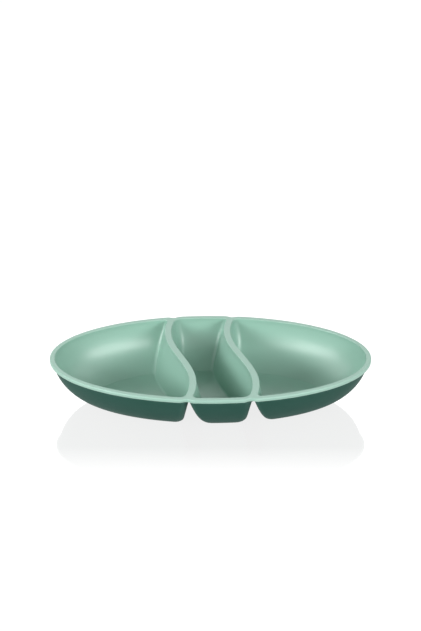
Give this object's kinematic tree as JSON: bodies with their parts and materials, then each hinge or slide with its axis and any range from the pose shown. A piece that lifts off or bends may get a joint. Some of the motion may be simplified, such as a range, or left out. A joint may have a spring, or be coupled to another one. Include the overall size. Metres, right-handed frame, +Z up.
{
  "type": "divided serving bowl",
  "caption": "Oval serving bowl parted into wells by S-curved hollow dividers; a light inner shell with a rim, joined to a dark outer shell that stands on flat feet.",
  "frame": {"origin": "on the table, under the middle of the bowl", "axes": "+X along the bowl's length, +Y across it to the far side, +Z up out of the wells"},
  "size_m": [0.36, 0.18, 0.061],
  "materials": {
    "light_plastic": "satin pale green moulded plastic",
    "dark_plastic": "satin dark green moulded plastic"
  },
  "bodies": {
    "root": {"inner_shell": "light_plastic", "outer_shell": "dark_plastic"}
  },
  "joints": []
}
